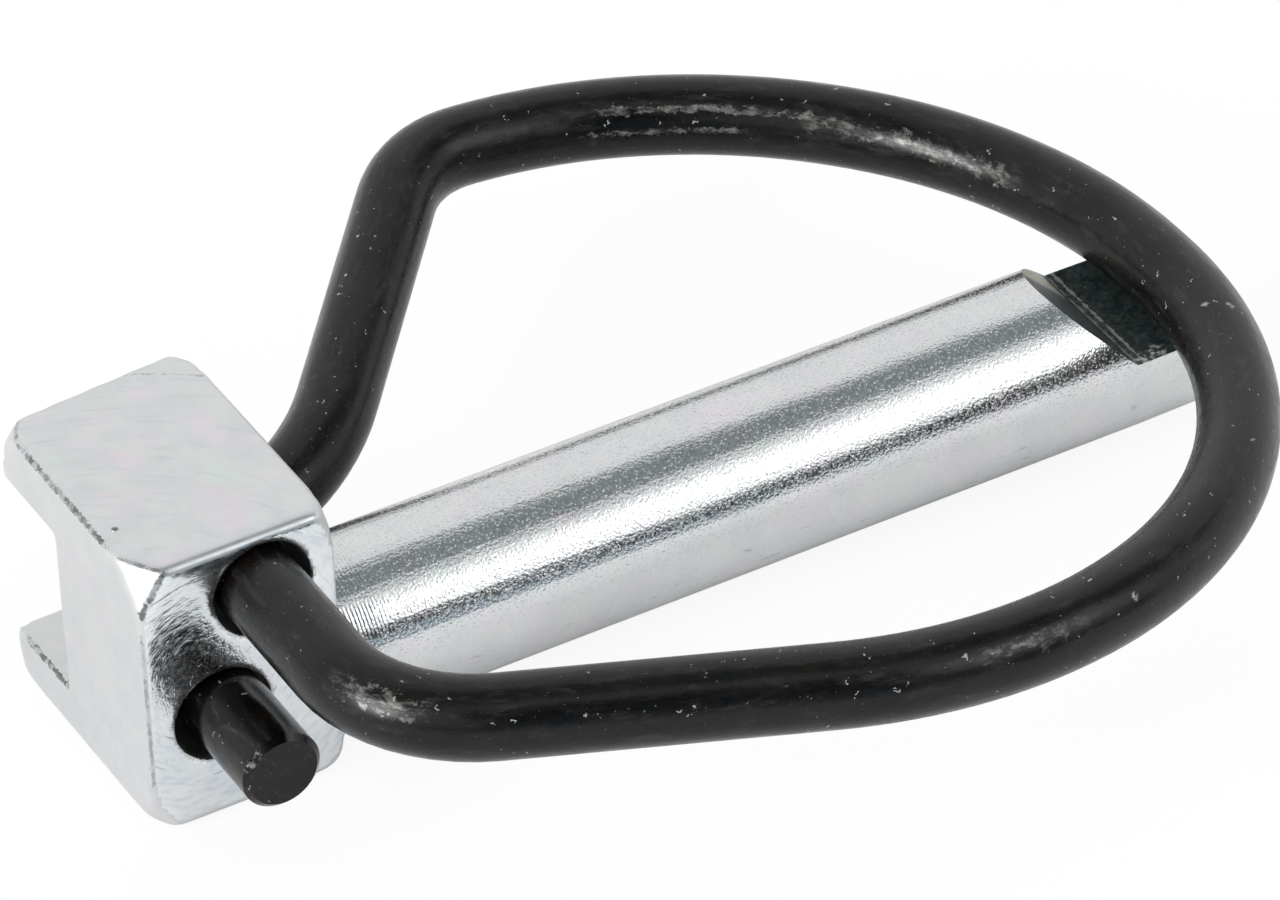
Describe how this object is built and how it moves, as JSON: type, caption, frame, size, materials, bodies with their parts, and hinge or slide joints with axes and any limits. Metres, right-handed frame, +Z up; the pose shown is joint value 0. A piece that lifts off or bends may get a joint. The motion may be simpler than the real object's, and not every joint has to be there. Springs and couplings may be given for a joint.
{
  "type": "lynch pin",
  "caption": "Lynch pin: a round shank with a square, grooved head, and a sprung wire bail that swings over the head and closes on a flat at the shank's tip.",
  "frame": {"origin": "on the shank's axis, at the head's shoulder", "axes": "+X along the shank to its tip, +Y to the grooved side of the head, +Z up from the surface it lies on"},
  "size_m": [0.0662, 0.0594, 0.0171],
  "materials": {
    "zinc_plate": "bright zinc plate, satin, with fine turning and milling marks",
    "black_wire": "black finished spring wire, semi-gloss, lightly scuffed"
  },
  "bodies": {
    "pin": {"pin_body": "zinc_plate"},
    "bail": {"wire_bail": "black_wire"}
  },
  "joints": [
    {"name": "bail_swing", "type": "hinge", "parent": "pin", "child": "bail", "pos_m": [-0.00535, 0, 0.0052], "axis": [0, -1, 0], "range_deg": [0, 180], "deforming": ["wire_bail"]}
  ]
}
